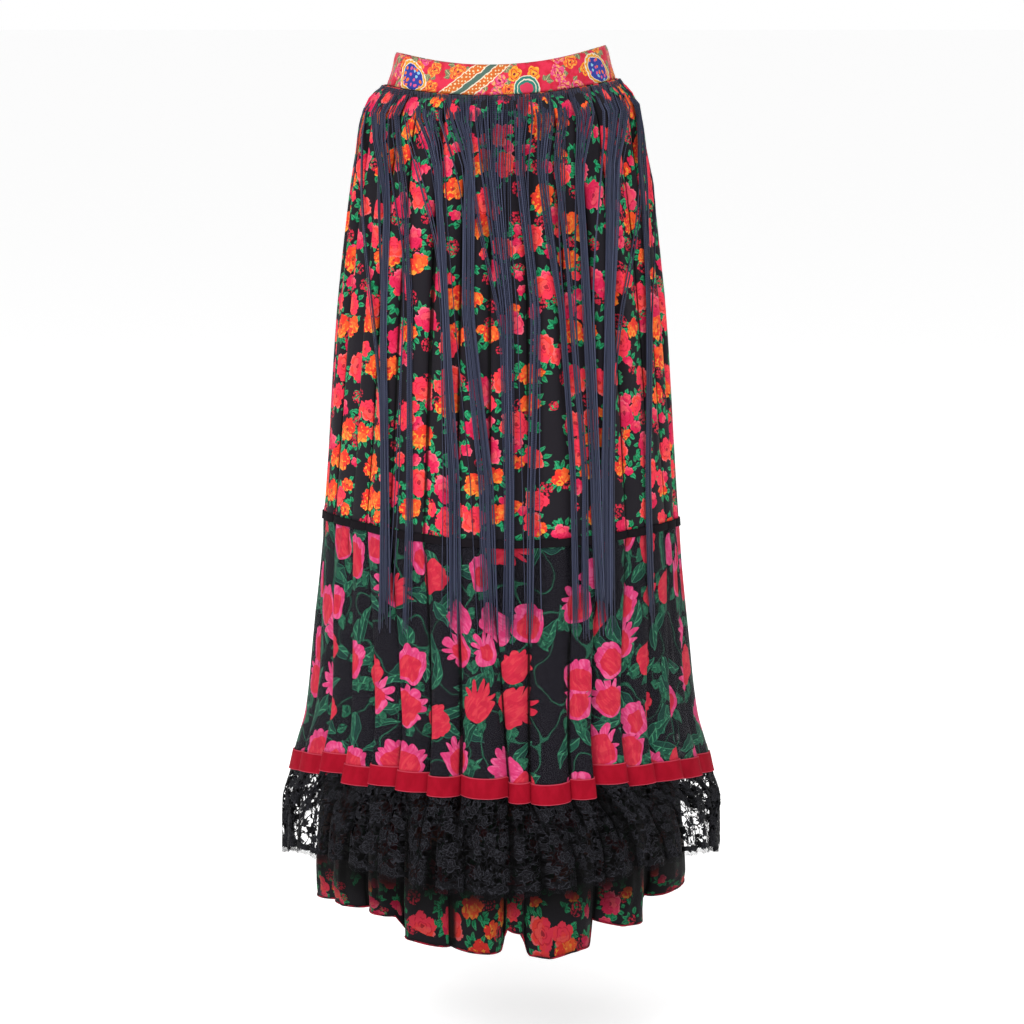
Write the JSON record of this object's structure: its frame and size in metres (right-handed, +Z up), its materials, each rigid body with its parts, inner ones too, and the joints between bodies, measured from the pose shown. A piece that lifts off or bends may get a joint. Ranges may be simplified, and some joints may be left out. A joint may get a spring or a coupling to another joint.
{
  "type": "tiered maxi skirt",
  "caption": "Full-length gathered skirt held at the waist: fringed waistband, two printed tiers with velvet trims, lace flounce and underskirt.",
  "frame": {"origin": "centre of the waistband at half its height, where the wearer's waist holds the skirt", "axes": "+Z up along the skirt's length, the front faces -Y, +X to the right of a viewer in front"},
  "size_m": [0.5082, 0.4113, 0.9879],
  "materials": {
    "waistband": "smooth printed scarf cloth with a soft sheen",
    "upper_tier": "matt crepe, near black with red and orange roses",
    "velvet_tape": "black velvet pile",
    "lower_tier": "sheer black chiffon with large pink flowers",
    "velvet_ribbon": "crimson velvet pile with woven edges",
    "lace": "black lace",
    "underskirt": "light printed cloth, near black with red and orange roses",
    "fringe": "twisted navy yarn with a dull gloss"
  },
  "bodies": {
    "root": {"waistband_front": "waistband", "waistband_back": "waistband", "upper_tier_front": "upper_tier", "upper_tier_back": "upper_tier", "velvet_tape_front": "velvet_tape", "velvet_tape_back": "velvet_tape", "lower_tier_front": "lower_tier", "lower_tier_back": "lower_tier", "velvet_ribbon_front": "velvet_ribbon", "velvet_ribbon_back": "velvet_ribbon", "lace_ruffle_front": "lace", "lace_ruffle_back": "lace", "underskirt_front": "underskirt", "underskirt_back": "underskirt", "fringe_front": "fringe", "fringe_back": "fringe"}
  },
  "joints": []
}
